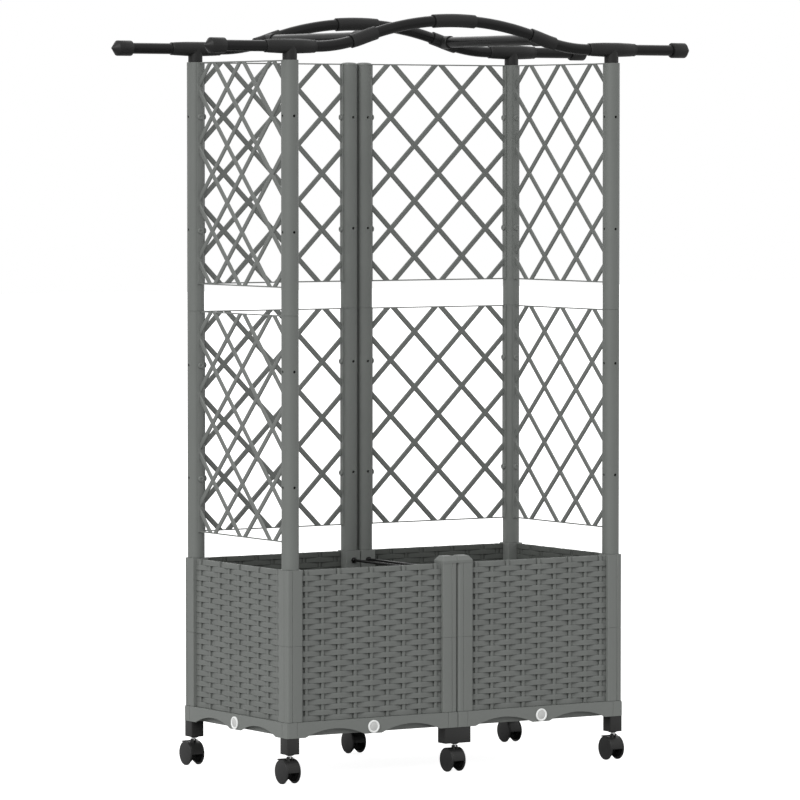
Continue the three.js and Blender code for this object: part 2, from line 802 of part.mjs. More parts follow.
// ---------------------------------------------------------------- assembly

addTrays();
addDrainPlugs();
addColumns();
addWalls();
addTieRods();
addLegsAndCasters();
addPosts();
addTrellis();
addTopFrame();

// The origin is on the floor, under the middle of the whole object's box.
const extent = new THREE.Box3().setFromObject(parts, true);
parts.position.y = -(extent.min.y + extent.max.y) / 2;

const planter = new THREE.Group();
planter.name = 'planter_with_trellis';
planter.add(parts);

export default planter;
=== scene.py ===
"""Looks of the planter with trellis: finished meshes and moulded-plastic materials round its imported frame.

Shapes are collected in millimetres in the frame's axes, and as_mesh() turns them into metres.
"""
import json
import math
from collections import namedtuple

import bmesh
import bpy
from mathutils import Matrix, Vector


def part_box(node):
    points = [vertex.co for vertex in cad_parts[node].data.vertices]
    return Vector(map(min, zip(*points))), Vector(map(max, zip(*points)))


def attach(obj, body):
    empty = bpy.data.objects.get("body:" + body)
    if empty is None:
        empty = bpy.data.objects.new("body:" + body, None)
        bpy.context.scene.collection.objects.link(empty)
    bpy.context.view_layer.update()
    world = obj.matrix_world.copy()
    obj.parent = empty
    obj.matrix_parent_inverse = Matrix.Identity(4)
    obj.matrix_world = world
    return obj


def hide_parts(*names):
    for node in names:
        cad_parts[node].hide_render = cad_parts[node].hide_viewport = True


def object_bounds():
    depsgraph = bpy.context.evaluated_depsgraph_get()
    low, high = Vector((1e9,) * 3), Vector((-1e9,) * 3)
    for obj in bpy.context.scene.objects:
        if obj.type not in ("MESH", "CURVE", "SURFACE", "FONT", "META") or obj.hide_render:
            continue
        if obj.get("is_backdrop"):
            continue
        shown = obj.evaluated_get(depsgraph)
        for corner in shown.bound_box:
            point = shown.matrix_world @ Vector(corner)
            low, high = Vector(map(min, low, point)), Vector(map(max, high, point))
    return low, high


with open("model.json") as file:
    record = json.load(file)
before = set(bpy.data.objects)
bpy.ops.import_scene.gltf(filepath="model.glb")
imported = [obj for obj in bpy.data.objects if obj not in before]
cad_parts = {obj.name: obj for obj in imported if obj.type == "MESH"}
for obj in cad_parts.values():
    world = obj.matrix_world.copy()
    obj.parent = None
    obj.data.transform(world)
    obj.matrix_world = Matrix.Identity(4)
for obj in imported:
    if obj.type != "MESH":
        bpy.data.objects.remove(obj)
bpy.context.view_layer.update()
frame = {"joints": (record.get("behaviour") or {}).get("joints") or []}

MM = 0.001
joints = {joint["name"]: joint for joint in frame["joints"]}
scene = bpy.context.scene

# ---------------------------------------------------------------- sizes, in millimetres

FIT = 0.3
SEAM = 0.5  # half height of a seam groove
SEAM_DEPTH = 0.6

# Columns
COLUMN_ROUNDING = 6  # outer corner
COLUMN_EASE = 1.2  # other corners
COLUMN_GROOVE = 12.5  # from the outer corner
GROOVE_HALF = 1.0
GROOVE_DEPTH = 1.1
PAIR_GAP = 0.25  # from the middle to a middle column's solid
PAIR_SLIM = 0.4  # taken off each half of a middle column, so that the gap shows
CLIP_HALF = 1.5  # the hidden web between two middle columns
CLIP_RECESS = 7
CLIP_SHORT = 4
CAP_OVERLAP = 1.8
CAP_SPARE = 0.2
CAP_SKIRT = 6
CAP_INSET = 7
CAP_ROUNDING = 1.6

# Wicker walls
STAKE_PITCH = 37.9
STAKE_WIDTH = 6.6
STAKE_SLOT = 1.7  # between a stake and the strands that dip behind it
STAKE_PROUD = 0.6
STAKE_RECESS_INSIDE = 0.5
COURSES = 28
CORE_DEPTH = 5.5  # of the panel's closed core under its outer face
CORE_HALF = 0.3
CORE_SHORT = 0.4  # at the top and at the foot
CROWN_PROUD = 1.6  # over the panel's outer face
STRAND_GAP = 0.12
STRAND_DIP = 4.6
STRAND_DIP_INSIDE = 0.8
STRAND_LEAN = 0.6  # a strand's lower edge stands out, and its upper edge back
STRAND_EDGE = 0.35
STRAND_UPPER_EDGE = 0.6
STRAND_TUCK = 0.4  # how much deeper its two ends lie
STRAND_STEP = 3.2  # between two sections of its mesh
SHORTEST_STRAND = 2
WAVE_SHARPNESS = 0.96  # 0 is a sine, 1 a zigzag

# Trays, with two arches under each side, and drain plugs
TRAY_ROUNDING = 4
TRAY_CORNER_STEPS = 6
APRON = 3
PAN_INSET = 12
PAN_WALL = 2.5
PAN_LIFT = 2
PAN_ROUNDING = 3
FLANGE = 2.5
FOOT = 29
FOOT_INSET = 0.6
ARCH_SPAN = 138
ARCH_RISE = 15
ARCH_OFFSET = 89
ARCH_STEPS = 28
LINE_LONG = 23  # fine joint lines of the feet, from the tray's corners
LINE_SHORT = 20
LINE_HALF = 0.6
LINE_FLOOR = 0.3
LINE_DEPTH = 1.0
PLUG_BORE = 9
PLUG_FLANGE = 2.5
PLUG_RIM = 3
BOSS_WALL = 3

# Tie rods
TIE_ROD = 2.8

# Leg blocks
LEG_SPARE = 2.4  # beyond the plain CAD block
LEG_ROUNDING = 1.6
LEG_BOSS = 9
LEG_BOSS_HEIGHT = 3

# Casters
WHEEL_GAP = 14
WHEEL_FACE = 17.2  # of the outer faces, from the middle
WHEEL_EASE = 1.2
WHEEL_CROWN = 1.1
DRUM = 19.6
AXLE = 3
HOOD_HALF = 12.6
HOOD_INNER = 21.6
HOOD_OUTER = 24.3
HOOD_EASE = 0.4
HOOD_FRONT = 182  # degrees round the axle from +Y
HOOD_REAR = 55
HOOD_REAR_BRAKED = 93
WEB = 19
HUB = 8
COLLAR = 6.2
COLLAR_HEIGHT = 12
COLLAR_EASE = 0.7
COLLAR_TOP = 54
COLLAR_SLOT = 26  # half angle, in degrees
STEM = 4
STEM_START = 51
STEM_TOP = 82.9
LEVER_WIDTH = 33
LEVER_START = 8.5
LEVER_REACH = 22
LEVER_LIFT = 0.35  # over the wheels, also when tipped
LEVER_TIP = 0.22
LEVER_THICKNESS = 1.5
LEVER_EASE = 0.4
LEVER_ROUNDING = 3
LEVER_STEPS = 14
LEVER_TONGUE = 5
LEVER_BARREL = 2.6
LEVER_PIN = 1.6

# Posts
SPIGOT = 25
POST_WALL = 2.25
LOWER_SECTION = 500.1
UPPER_SECTION = 502.1
HOLE = 2.9
HOLE_DEPTHS = (110, 338)
POST_CAP = 3
POST_CAP_LINE = 0.35

# Trellis
TRELLIS_HEIGHT = 448
PITCH_ALONG = 58.5
PITCH_UP = 57.7
LATTICE_MIDDLE = 225
STRIP = 10.5
STRIP_THICKNESS = 4
STRIP_EASE = 1.7  # width of the slope along a strip's edges
STRIP_DROP = 1.2
RAIL = 2.4
RAIL_THINNING = 0.8
CHANNEL = 1.5
CHANNEL_WIDTH = 13
PEG = 6
PEG_HEIGHT = 3
PEG_EASE = 0.8
PEG_DIMPLE = 2.4
PEG_DEPTHS = (110, 340)

# Top frame
TUBE = 11
FRAME_RISE = 26.8
ARCH_APEX = 54.6
ARCH_RADIUS = 654
KNEE_SLOPE = math.radians(19)
COUPLER = 13.5
COUPLER_LENGTH = 97
SLEEVE_EASE = 0.8
TEE = 14.4
TEE_LIP = 12.9
TEE_LIP_LENGTH = 7
TEE_SHOULDER = 20
TEE_LENGTH = 113
TEE_STEM = 14.5
TEE_STEM_DEPTH = 30
OVERHANG = 149.2
END_CAP = 15.5
END_CAP_CYLINDER = 32
END_CAP_CONE = 12.7
END_CAP_TIP = 1.6
KNEE_LENGTH = 57
KNEE_BRANCH = 28

FLOOR_REACH = 30000

# The photograph's view
CAMERA_AZIMUTH = math.radians(-32.273)
CAMERA_ELEVATION = math.radians(2.781)
CAMERA_DISTANCE = 10691
CAMERA_AIM = Vector((-10.3, -5.9, 740.9))
CAMERA_LENS = 236.55

# ---------------------------------------------------------------- forms


def node_box(node):
    """Lowest and highest corner of a CAD node, in millimetres."""
    low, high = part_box(node)
    return low / MM, high / MM


def joint_place(name):
    return Vector(joints[name]["pos_m"]) / MM


def over(low, high, z, turn=0):
    """Takes the origin over the middle of a box, to the height z, turned by so many degrees round Z."""
    spot = Matrix.Translation(((low.x + high.x) / 2, (low.y + high.y) / 2, z))
    return spot @ Matrix.Rotation(math.radians(turn), 4, "Z")


class Shell:
    """Closed forms that make up one piece, in millimetres. A tint picks one of the piece's finishes."""

    def __init__(self):
        self.points = []
        self.faces = []
        self.tints = []

    def add(self, points, faces, tint=0):
        base = len(self.points)
        self.points += [tuple(point) for point in points]
        self.faces += [tuple(base + index for index in face) for face in faces]
        self.tints += [tint] * len(faces)
        return self

    def join(self, other, place=Matrix.Identity(4)):
        base = len(self.points)
        self.points += [tuple(place @ Vector(point)) for point in other.points]
        self.faces += [tuple(base + index for index in face) for face in other.faces]
        self.tints += other.tints
        return self

    def loft(self, rings, closed=False, tint=0):
        """Rings of as many points each. The ends are capped, unless the last ring meets the first."""
        count = len(rings[0])
        faces = []
        spans = len(rings) if closed else len(rings) - 1
        for span in range(spans):
            here = span * count
            there = (span + 1) % len(rings) * count
            for index in range(count):
                after = (index + 1) % count
                faces.append((here + index, here + after, there + after, there + index))
        if not closed:
            faces.append(tuple(reversed(range(count))))
            faces.append(tuple(spans * count + index for index in range(count)))
        return self.add([point for ring in rings for point in ring], faces, tint)

    def lathe(self, profile, centre=(0, 0, 0), axis="z", sides=48, tint=0):
        """Turns (radius, height) pairs. They start and end on the axis, or close on themselves."""
        points = []
        rings = []
        for radius, height in profile:
            if radius < 1e-6:
                rings.append([len(points)])
                points.append(on_axis(0, 0, height, centre, axis))
                continue
            rings.append([len(points) + side for side in range(sides)])
            for side in range(sides):
                turn = 2 * math.pi * side / sides
                points.append(on_axis(radius * math.cos(turn), radius * math.sin(turn), height, centre, axis))
        open_profile = len(rings[0]) == 1
        spans = len(rings) - 1 if open_profile else len(rings)
        faces = []
        for span in range(spans):
            near, far = rings[span], rings[(span + 1) % len(rings)]
            for side in range(sides):
                after = (side + 1) % sides
                quad = [near[side % len(near)], near[after % len(near)]]
                quad += [far[after % len(far)], far[side % len(far)]]
                face = list(dict.fromkeys(quad))
                if len(face) > 2:
                    faces.append(tuple(face))
        return self.add(points, faces, tint)

    def block(self, low, high, tint=0):
        rings = []
        for z in (low[2], high[2]):
            front = [(low[0], low[1], z), (high[0], low[1], z)]
            back = [(high[0], high[1], z), (low[0], high[1], z)]
            rings.append(front + back)
        return self.loft(rings, tint=tint)

    def prism_x(self, outline, half_width):
        """An outline of (y, z) points, extruded along X."""
        return self.loft([[(x, y, z) for y, z in outline] for x in (-half_width, half_width)])


def on_axis(across, aside, height, centre, axis):
    turned = {"x": (height, across, aside), "y": (aside, height, across), "z": (across, aside, height)}[axis]
    return tuple(place + start for place, start in zip(turned, centre))


def arc(centre, radius, start, stop, steps):
    """Points of an arc, in degrees, ends included."""
    points = []
    for step in range(steps + 1):
        turn = math.radians(start + (stop - start) * step / steps)
        points.append((centre[0] + radius * math.cos(turn), centre[1] + radius * math.sin(turn)))
    return points


def band(inner, outer, start, stop, steps):
    """The outline between two arcs round (0, 0)."""
    return arc((0, 0), outer, start, stop, steps) + list(reversed(arc((0, 0), inner, start, stop, steps)))


def rounded_rectangle(half_x, half_y, radius, steps=5):
    outline = []
    for quarter, (sign_x, sign_y) in enumerate([(1, -1), (1, 1), (-1, 1), (-1, -1)]):
        centre = (sign_x * (half_x - radius), sign_y * (half_y - radius))
        outline += arc(centre, radius, -90 + 90 * quarter, 90 * quarter, steps)
    return outline


def rod(radius, low, high):
    """The profile of a cylinder."""
    return [(0, low), (radius, low), (radius, high), (0, high)]


def sleeve(radius, low, high):
    """The profile of a cylinder with sloped ends."""
    slope = radius - SLEEVE_EASE
    near = [(0, low), (slope, low), (radius, low + SLEEVE_EASE)]
    return near + [(radius, high - SLEEVE_EASE), (slope, high), (0, high)]


def both_ends(half, middle=0.0):
    """A profile from (radius, distance) pairs of one half, which start at its end."""
    near = [(radius, middle - distance) for radius, distance in half]
    return near + [(radius, middle + distance) for radius, distance in reversed(half)]


def as_mesh(shell, name="shell"):
    mesh = bpy.data.meshes.new(name)
    mesh.from_pydata([Vector(point) * MM for point in shell.points], [], shell.faces)
    mesh.polygons.foreach_set("material_index", shell.tints)
    edit = bmesh.new()
    edit.from_mesh(mesh)
    bmesh.ops.recalc_face_normals(edit, faces=edit.faces)
    edit.to_mesh(mesh)
    edit.free()
    return mesh


def combined(first, second, operation):
    """A new shell: the first one joined with, cut by or kept inside the second."""
    pair = []
    for shell in (first, second):
        item = bpy.data.objects.new("operand", as_mesh(shell))
        scene.collection.objects.link(item)
        pair.append(item)
    boolean = pair[0].modifiers.new("boolean", "BOOLEAN")
    boolean.operation = operation
    boolean.solver = "MANIFOLD"
    boolean.object = pair[1]
    evaluated = pair[0].evaluated_get(bpy.context.evaluated_depsgraph_get())
    mesh = evaluated.to_mesh()
    made = Shell()
    made.add([vertex.co / MM for vertex in mesh.vertices], [tuple(face.vertices) for face in mesh.polygons])
    evaluated.to_mesh_clear()
    for item in pair:
        data = item.data
        bpy.data.objects.remove(item)
        bpy.data.meshes.remove(data)
    return made


def piece(name, shell, body, finishes, stands_for=(), sharp=32):
    """One finished piece on its body, with a material slot for each of its finishes, in their order."""
    mesh = as_mesh(shell, name)
    mesh.shade_smooth()
    mesh.set_sharp_from_angle(angle=math.radians(sharp))
    for finish in finishes:
        mesh.materials.append(materials[finish])
    item = bpy.data.objects.new(name, mesh)
    scene.collection.objects.link(item)
    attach(item, body)
    if stands_for:
        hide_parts(*stands_for)
    return item


# ---------------------------------------------------------------- materials

MIX_FIRST, MIX_SECOND, MIX_RESULT = 6, 7, 2  # colour sockets of a Mix node
CLOUD_SCALE = 11
SPECKLE_SCALE = 420
SHEEN_SCALE = 26


def noise(tree, scale, detail, roughness=0.5):
    texture = tree.nodes.new("ShaderNodeTexNoise")
    texture.inputs["Scale"].default_value = scale
    texture.inputs["Detail"].default_value = detail
    texture.inputs["Roughness"].default_value = roughness
    place = tree.nodes.get("place") or tree.nodes.new("ShaderNodeTexCoord")
    place.name = "place"
    tree.links.new(place.outputs["Object"], texture.inputs["Vector"])
    return texture.outputs["Fac"]


def ranged(tree, value, low, high, start=0.3, stop=0.7):
    node = tree.nodes.new("ShaderNodeMapRange")
    node.inputs["From Min"].default_value = start
    node.inputs["From Max"].default_value = stop
    node.inputs["To Min"].default_value = low
    node.inputs["To Max"].default_value = high
    tree.links.new(value, node.inputs["Value"])
    return node.outputs["Result"]


def mixed(tree, factor, first, second):
    node = tree.nodes.new("ShaderNodeMix")
    node.data_type = "RGBA"
    for socket, colour in ((node.inputs[MIX_FIRST], first), (node.inputs[MIX_SECOND], second)):
        if isinstance(colour, tuple):
            socket.default_value = (*colour, 1)
        else:
            tree.links.new(colour, socket)
    tree.links.new(factor, node.inputs[0])
    return node.outputs[MIX_RESULT]


def moulded(
    name, colour, roughness,
    mottle=0.05, grain=0.05, grain_scale=1300, painted_edge_highlight=0.0, metal=0.0, specular=0.5,
):
    """Moulded plastic: cloudy tone, faint flow marks, a fine grain, and paler convex edges, a painted
    highlight.
    """
    material = bpy.data.materials.new(name)
    material.use_nodes = True
    tree = material.node_tree
    shader = tree.nodes["Principled BSDF"]
    shader.inputs["Metallic"].default_value = metal
    shader.inputs["Specular IOR Level"].default_value = specular
    dark = tuple(channel * (1 - mottle) for channel in colour)
    light = tuple(channel * (1 + mottle) for channel in colour)
    tone = mixed(tree, ranged(tree, noise(tree, CLOUD_SCALE, 4), 0, 1), dark, light)
    speckle = tuple(channel * (1 - 2 * mottle) for channel in colour)
    tone = mixed(tree, ranged(tree, noise(tree, SPECKLE_SCALE, 2), 0, 0.35, 0.5, 0.8), tone, speckle)
    # Painted highlight: convex edges, where Pointiness is high, are mixed towards a paler tone
    if painted_edge_highlight:
        edges = tree.nodes.new("ShaderNodeNewGeometry")
        edge_highlight_tone = tuple(channel * (1 + painted_edge_highlight) for channel in colour)
        tone = mixed(tree, ranged(tree, edges.outputs["Pointiness"], 0, 1, 0.52, 0.62), tone, edge_highlight_tone)
    tree.links.new(tone, shader.inputs["Base Color"])
    sheen = ranged(tree, noise(tree, SHEEN_SCALE, 3), roughness - 0.05, roughness + 0.07)
    tree.links.new(sheen, shader.inputs["Roughness"])
    bump = tree.nodes.new("ShaderNodeBump")
    bump.inputs["Strength"].default_value = grain
    bump.inputs["Distance"].default_value = 0.2 * MM
    tree.links.new(noise(tree, grain_scale, 2), bump.inputs["Height"])
    tree.links.new(bump.outputs["Normal"], shader.inputs["Normal"])
    return material


materials = {
    "grey": moulded("grey moulded plastic", (0.139, 0.147, 0.139), 0.5, specular=0.38, painted_edge_highlight=0.12),
    "grey tube": moulded(
        "grey extruded plastic", (0.128, 0.136, 0.128), 0.45, specular=0.4, grain=0.03, painted_edge_highlight=0.1,
    ),
    # A little darker than the grey moulded plastic: painted shade over the whole weave
    "wicker": moulded("grey wicker-look plastic", (0.126, 0.133, 0.126), 0.55, specular=0.34, painted_edge_highlight=0.1),
    # Darker than the wicker: painted shade for the walls' inner side and for the core that shows through the
    # slots
    "wicker inside painted shade": moulded(
        "rough inner side, painted shade", (0.075, 0.08, 0.074), 0.75, mottle=0.09, grain=0.12, specular=0.15,
    ),
    "black": moulded("black moulded plastic", (0.015, 0.015, 0.0146), 0.44, specular=0.25, painted_edge_highlight=0.3),
    "tube": moulded(
        "black coated tube", (0.004, 0.004, 0.004), 0.3, specular=0.22, grain=0.08, grain_scale=900, painted_edge_highlight=0.3,
    ),
    "fitting": moulded("black fitting plastic", (0.012, 0.012, 0.0118), 0.46, specular=0.24, painted_edge_highlight=0.3),
    "wheel": moulded("black wheel plastic", (0.018, 0.018, 0.018), 0.42, specular=0.25, painted_edge_highlight=0.25),
    # Near-black painted shade for the wheels' drums, under the hood
    "drum painted shade": moulded("drum black, painted shade", (0.004, 0.004, 0.004), 0.75, specular=0.08, mottle=0.1),
    "pale": moulded("pale plug plastic", (0.8, 0.81, 0.8), 0.35, mottle=0.02),
    "pale centre": moulded("pale plug web", (0.52, 0.525, 0.515), 0.45, mottle=0.03),
    "steel": moulded("plated steel", (0.72, 0.72, 0.72), 0.28, metal=1.0),
}

# ---------------------------------------------------------------- columns


def column_outline(side_x, side_y, half):
    """A corner column seen from above, its outer corner towards (side_x, side_y)."""
    outer = arc((-half + COLUMN_ROUNDING, -half + COLUMN_ROUNDING), COLUMN_ROUNDING, 180, 270, 8)
    groove = -half + COLUMN_GROOVE
    along_x = [(groove - GROOVE_HALF, -half), (groove, -half + GROOVE_DEPTH), (groove + GROOVE_HALF, -half)]
    ease = half - COLUMN_EASE
    corners = arc((ease, -ease), COLUMN_EASE, -90, 0, 3)
    corners += arc((ease, ease), COLUMN_EASE, 0, 90, 3)
    corners += arc((-ease, ease), COLUMN_EASE, 90, 180, 3)
    along_y = [(y, x) for x, y in reversed(along_x)]
    outline = outer + along_x + corners + along_y
    return [(-side_x * x, -side_y * y) for x, y in outline]


def add_column(shell, x, y, low, high, side_x, side_y, half):
    """A column of two sections, with a seam groove in the middle and eased ends."""
    outline = column_outline(side_x, side_y, half)
    seam = (low + high) / 2
    tight = 1 - SEAM_DEPTH / half
    levels = [
        (low, tight), (low + SEAM, 1), (seam - SEAM, 1), (seam - SEAM / 3, tight),
        (seam + SEAM / 3, tight), (seam + SEAM, 1), (high - SEAM, 1), (high, tight),
    ]
    rings = [[(x + across * size, y + aside * size, z) for across, aside in outline] for z, size in levels]
    shell.loft(rings)


def column_cap(shell, x, y, low, rise, half):
    """A cap with an upright skirt and a sloped top."""
    levels = [
        (half - 0.3, 0), (half, 0.4), (half, CAP_SKIRT - 0.6), (half - 0.5, CAP_SKIRT + 0.2),
        (half - CAP_INSET + 0.8, rise - 0.6), (half - CAP_INSET - 0.4, rise),
    ]
    rings = []
    for size, z in levels:
        outline = rounded_rectangle(size, size, CAP_ROUNDING, 3)
        rings.append([(x + across, y + aside, low + z) for across, aside in outline])
    shell.loft(rings)


column_low, column_high = node_box("column_front_left")
COLUMN_HALF = (column_high.x - column_low.x) / 2
cap_low = column_high.z - CAP_OVERLAP
cap_rise = node_box("column_pair_front")[1].z - cap_low

for end, side_y in (("front", -1), ("back", 1)):
    for side, side_x in (("left", -1), ("right", 1)):
        node = f"column_{end}_{side}"
        low, high = node_box(node)
        x = (low.x + high.x) / 2
        y = (low.y + high.y) / 2
        shell = Shell()
        add_column(shell, x, y, low.z, high.z, side_x, side_y, COLUMN_HALF)
        piece(f"fine_{node}", shell, "planter", ["grey"], [node])

    node = f"column_pair_{end}"
    foot = node_box(node)[0].z
    corner_low, corner_high = node_box(f"column_{end}_left")
    top = corner_high.z
    y = (corner_low.y + corner_high.y) / 2
    inner_x = COLUMN_HALF + PAIR_GAP
    half = COLUMN_HALF - PAIR_SLIM
    shell = Shell()
    for side_x in (-1, 1):
        add_column(shell, side_x * (inner_x + PAIR_SLIM), y, foot, top, -side_x, side_y, half)
        if end == "front":
            column_cap(shell, side_x * inner_x, y, cap_low, cap_rise, COLUMN_HALF + CAP_SPARE)
    clip_low = (-CLIP_HALF, y - COLUMN_HALF + CLIP_RECESS, foot + CLIP_SHORT)
    clip_high = (CLIP_HALF, y + COLUMN_HALF - CLIP_RECESS, top - CLIP_SHORT)
    shell.block(clip_low, clip_high)
    piece(f"fine_{node}", shell, "planter", ["grey"], [node])

# ---------------------------------------------------------------- wicker walls

# One face of a panel: depths of its core, crowns and stakes, dip of its strands, way inwards, and finish
Side = namedtuple("Side", "core crown stake dip inward tint")


def wave(x):
    """How far a strand has dipped, from 0 on its crown at x = 0 to 1 where it passes behind a stake."""
    swing = math.cos(math.pi * x / STAKE_PITCH)
    return 0.5 - 0.5 * math.asin(WAVE_SHARPNESS * swing) / math.asin(WAVE_SHARPNESS)


def strand(shell, crown, z, half_length, half_up, side):
    """One visible length of a strand: over the stake at x = crown, from the slot of one stake to the next."""
    reach = STAKE_PITCH - STAKE_WIDTH / 2 - STAKE_SLOT
    start = max(-half_length, crown - reach)
    stop = min(half_length, crown + reach)
    if stop - start < SHORTEST_STRAND:
        return
    lean = side.inward * STRAND_LEAN
    ease = side.inward * STRAND_EDGE
    steps = max(2, round((stop - start) / STRAND_STEP))
    rings = []
    for step in range(steps + 1):
        x = start + (stop - start) * step / steps
        front = side.crown + side.inward * side.dip * wave(x - crown)
        if step in (0, steps):
            front += side.inward * STRAND_TUCK
        section = [
            (-half_up, side.core), (-half_up, front - lean + ease), (-half_up + STRAND_EDGE, front - lean),
            (0, front), (half_up - STRAND_UPPER_EDGE, front + lean), (half_up, front + lean + ease),
            (half_up, side.core),
        ]
        rings.append([(x, depth, z + up) for up, depth in section])
    shell.loft(rings, tint=side.tint)


def stake_piece(shell, x, z, half_up, side):
    """The stretch of a stake that shows between the strands above and below."""
    half = STAKE_WIDTH / 2
    outline = [
        (-half, side.core), (-half, side.stake + side.inward * 0.9),
        (-half + STRAND_EDGE, side.stake + side.inward * 0.25), (-half + 1.0, side.stake),
    ]
    outline += [(-across, depth) for across, depth in reversed(outline)]
    rings = [[(x + across, depth, z + up) for across, depth in outline] for up in (-half_up, half_up)]
    shell.loft(rings, tint=side.tint)


def weave(length, height, depth):
    """A wall panel centred on X, its foot at z = 0 and its outer face at y = 0, facing -Y."""
    shell = Shell()
    half = length / 2
    pitch_up = height / COURSES
    half_up = (pitch_up - STRAND_GAP) / 2
    outside = Side(CORE_DEPTH - CORE_HALF, -CROWN_PROUD, -STAKE_PROUD, STRAND_DIP, 1, 0)
    # The inner side takes the darker finish, painted shade inside the planter
    inside = Side(CORE_DEPTH + CORE_HALF, depth, depth - STAKE_RECESS_INSIDE, STRAND_DIP_INSIDE, -1, 1)
    core_high = (half, inside.core, height - CORE_SHORT)
    # The core takes the inner finish, so the slots beside the stakes show painted shade
    shell.block((-half, outside.core, CORE_SHORT), core_high, tint=inside.tint)
    reach = math.floor(half / STAKE_PITCH)
    for side in (outside, inside):
        for course in range(COURSES):
            z = (course + 0.5) * pitch_up
            for stake in range(-reach - 1, reach + 2):
                if (stake + course + side.tint) % 2 == 0:
                    strand(shell, stake * STAKE_PITCH, z, half, half_up, side)
                elif abs(stake) <= reach:
                    stake_piece(shell, stake * STAKE_PITCH, z, half_up, side)
    return shell


for node, turn in (
    ("wall_front_left", 0), ("wall_front_right", 0), ("wall_back_left", 180), ("wall_back_right", 180),
    ("wall_left", -90), ("wall_right", 90),
):
    low, high = node_box(node)
    along_x = turn in (0, 180)
    length = high.x - low.x if along_x else high.y - low.y
    depth = high.y - low.y if along_x else high.x - low.x
    place = over(low, high, low.z, turn) @ Matrix.Translation((0, -depth / 2, 0))
    panel = Shell().join(weave(length, high.z - low.z, depth), place)
    piece(f"fine_{node}", panel, "planter", ["wicker", "wicker inside painted shade"], [node], sharp=50)

# ---------------------------------------------------------------- trays and drain plugs


def arch_edge(along):
    """Height of the apron's lower edge, at a distance along its side from the middle."""
    radius = (ARCH_SPAN ** 2 / 4 + ARCH_RISE ** 2) / (2 * ARCH_RISE)
    off = abs(abs(along) - ARCH_OFFSET)
    if off >= ARCH_SPAN / 2:
        return 0.0
    return ARCH_RISE - radius + math.sqrt(radius ** 2 - off ** 2)


def side_stations(half, line):
    """Places along one side, and how deep the fine joint lines are there."""
    end = half - TRAY_ROUNDING
    stations = {-end: 0.0, end: 0.0}
    for sign in (-1, 1):
        for step in range(ARCH_STEPS + 1):
            swing = math.cos(math.pi * step / ARCH_STEPS)
            stations[sign * ARCH_OFFSET - ARCH_SPAN / 2 * swing] = 0.0
        middle = sign * (half - line)
        stations[middle - LINE_HALF] = 0.0
        stations[middle - LINE_FLOOR] = LINE_DEPTH
        stations[middle + LINE_FLOOR] = LINE_DEPTH
        stations[middle + LINE_HALF] = 0.0
    return sorted(stations.items())


def apron(half_x, half_y, height):
    """The tray's outer wall, as one closed loft round its four sides and corners."""
    sides = [(half_x, half_y, LINE_LONG), (half_y, half_x, LINE_SHORT)] * 2
    inner_rounding = TRAY_ROUNDING - APRON
    rings = []
    for quarter, (half, out, line) in enumerate(sides):
        turn = Matrix.Rotation(math.pi / 2 * quarter, 2)
        inner = -out + APRON
        for along, depth in side_stations(half, line):
            outer = -out + depth
            low = arch_edge(along)
            ring = []
            for place, z in ((outer, low), (outer, height), (inner, height), (inner, low)):
                spot = turn @ Vector((along, place))
                ring.append((spot.x, spot.y, z))
            rings.append(ring)
        centre = Vector((half - TRAY_ROUNDING, -out + TRAY_ROUNDING))
        corner = [(TRAY_ROUNDING, 0), (TRAY_ROUNDING, height), (inner_rounding, height), (inner_rounding, 0)]
        for step in range(1, TRAY_CORNER_STEPS):
            angle = math.radians(-90 + 90 * step / TRAY_CORNER_STEPS)
            direction = Vector((math.cos(angle), math.sin(angle)))
            ring = []
            for radius, z in corner:
                spot = turn @ (centre + direction * radius)
                ring.append((spot.x, spot.y, z))
            rings.append(ring)
    return Shell().loft(rings, closed=True)


def pan(half_x, half_y, height):
    """The bowl inside the apron, with a flange on top that meets it."""
    inner = PAN_INSET + PAN_WALL
    floor_z = PAN_LIFT + PAN_WALL
    edge = APRON - 1
    under = height - FLANGE
    levels = [
        (inner + 0.8, floor_z), (inner, floor_z + 0.8), (inner, height), (edge, height - 0.05),
        (edge, under), (PAN_INSET, under), (PAN_INSET, PAN_LIFT + 1), (PAN_INSET + 1, PAN_LIFT),
    ]
    rings = []
    for inset, z in levels:
        outline = rounded_rectangle(half_x - inset, half_y - inset, PAN_ROUNDING, 3)
        rings.append([(x, y, z) for x, y in outline])
    return Shell().loft(rings)


def drain_hole(half_out):
    profile = rod(PLUG_BORE, -half_out - 2, -half_out + PAN_INSET + PAN_WALL + 2)
    return Shell().lathe(profile, (0, 0, plug_above_foot), "y", 32)


def drain_boss(half_out):
    outer = PLUG_BORE + BOSS_WALL
    near = -half_out + APRON - 0.5
    far = -half_out + PAN_INSET + 0.5
    profile = [(PLUG_BORE, near), (outer, near), (outer, far), (PLUG_BORE, far)]
    return Shell().lathe(profile, (0, 0, plug_above_foot), "y", 32)


def tray(half_x, half_y, height, end_turns):
    """A tray centred on X and Y, its feet at z = 0. So many quarter turns take a drain to its outer end."""
    skirt = apron(half_x, half_y, height)
    bowl = pan(half_x, half_y, height)
    shell = Shell()
    for turns in (0, end_turns):
        out = half_y if turns == 0 else half_x
        spin = Matrix.Rotation(math.pi / 2 * turns, 4, "Z")
        hole = Shell().join(drain_hole(out), spin)
        skirt = combined(skirt, hole, "DIFFERENCE")
        bowl = combined(bowl, hole, "DIFFERENCE")
        shell.join(drain_boss(out), spin)
    shell.join(skirt).join(bowl)
    reach = FOOT / 2
    top = height - FLANGE + 0.5
    for sign_x in (-1, 1):
        for sign_y in (-1, 1):
            x = sign_x * (half_x - FOOT / 2 - FOOT_INSET)
            y = sign_y * (half_y - FOOT / 2 - FOOT_INSET)
            shell.block((x - reach, y - reach, 0), (x + reach, y + reach, top))
    return shell


